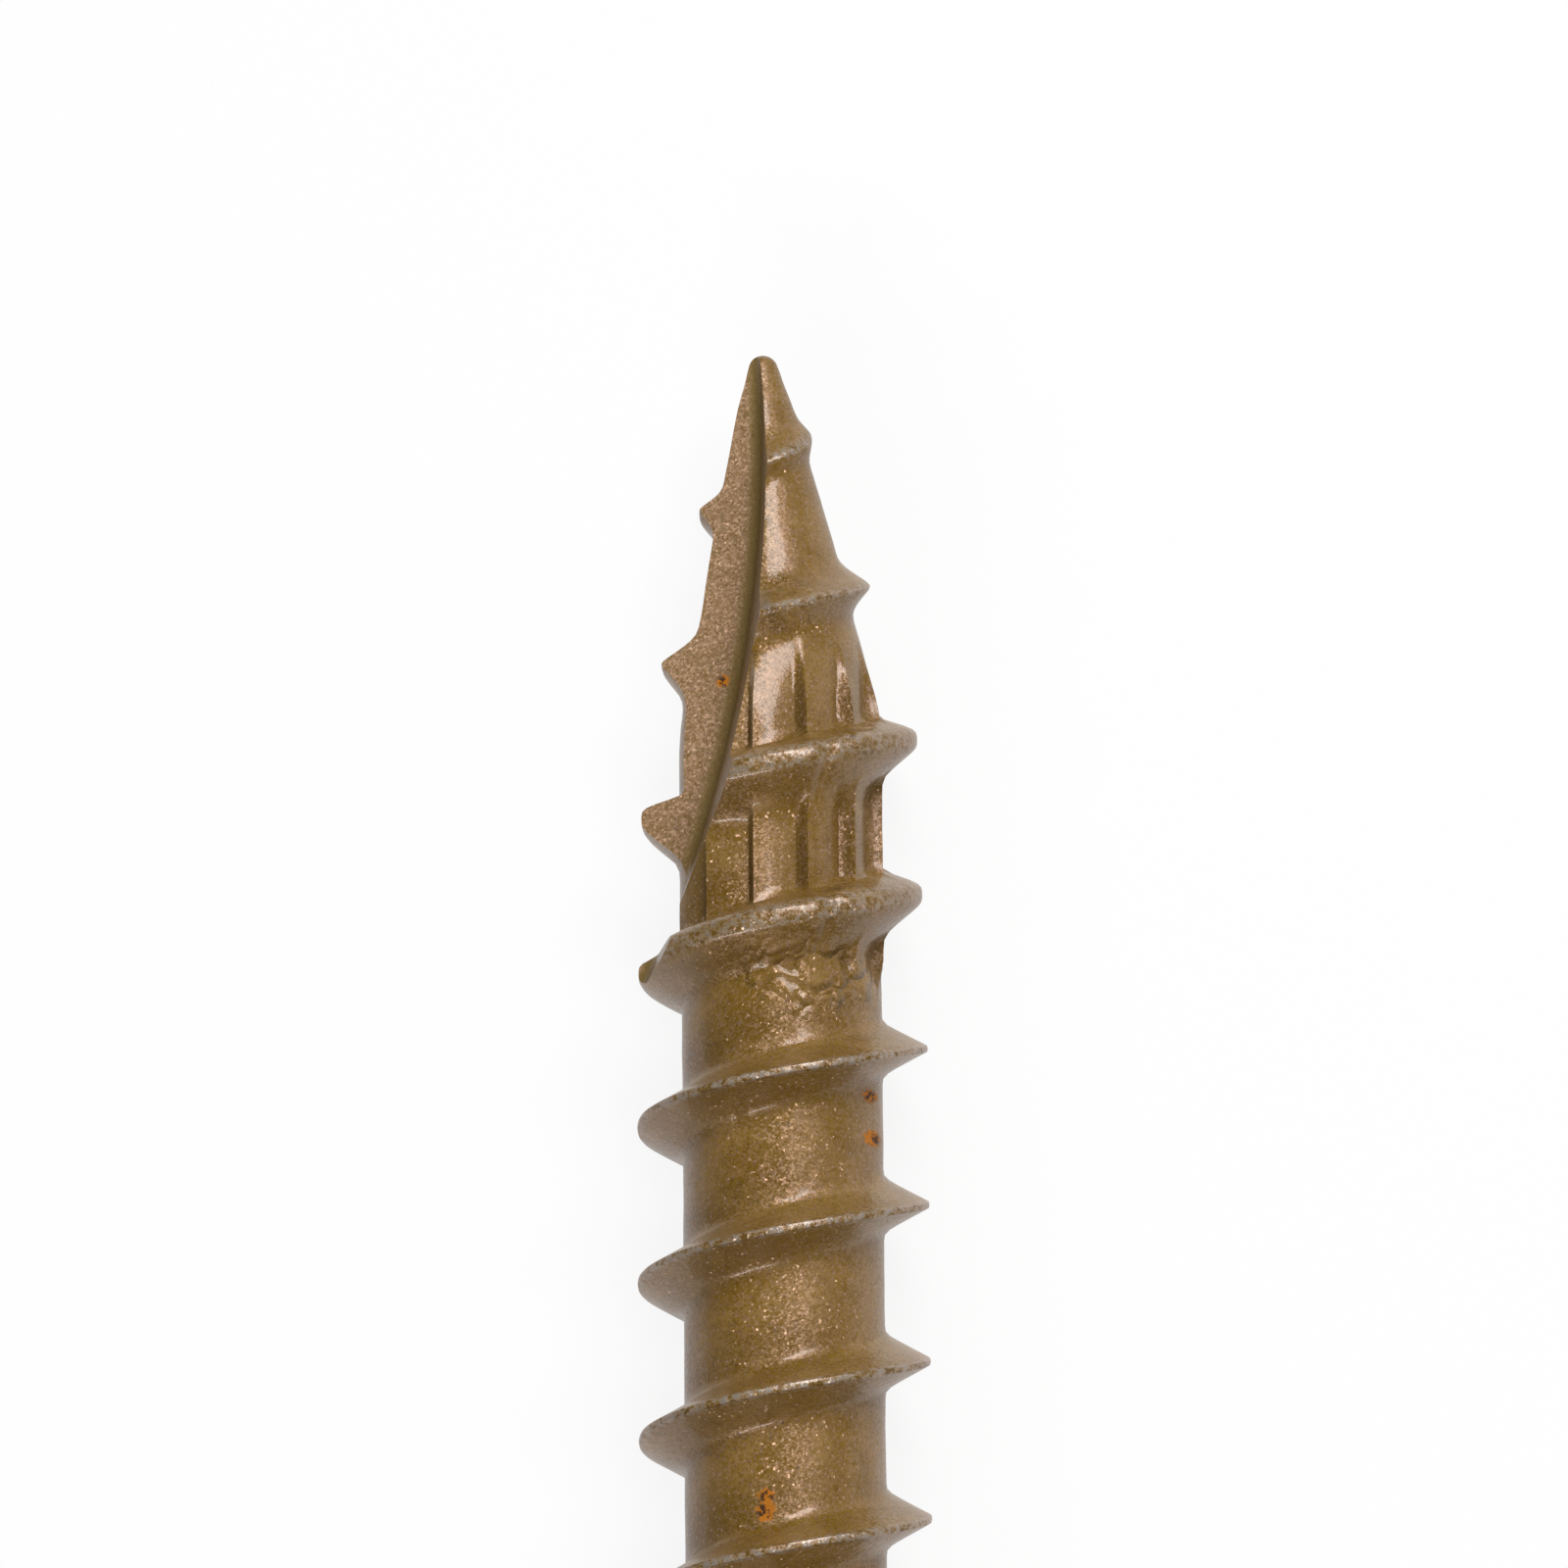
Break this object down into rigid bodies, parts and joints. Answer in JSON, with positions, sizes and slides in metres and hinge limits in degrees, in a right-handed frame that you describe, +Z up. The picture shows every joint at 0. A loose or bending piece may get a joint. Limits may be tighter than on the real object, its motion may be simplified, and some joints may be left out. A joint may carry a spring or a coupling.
{
  "type": "construction screw",
  "caption": "Wood construction screw with a coarse part thread, a plain shank, a flat countersunk head with a six-lobe recess, ribs and a saw-cut flute at its tapered point.",
  "frame": {"origin": "centre of the bounding box's floor rectangle, under the screw as it lies at rest", "axes": "+Y runs along the screw from head to point, +Z is up, +X is across it; the flute at the point faces up and a little towards +X. The screw's own axis leans down towards the point by about 2.5 degrees"},
  "size_m": [0.0094, 0.0636, 0.0094],
  "materials": {
    "bronze_coating": "tan bronze polymer-and-flake coating, slightly granular, worn to grey along the thread crests"
  },
  "bodies": {
    "root": {"screw": "bronze_coating"}
  },
  "joints": []
}
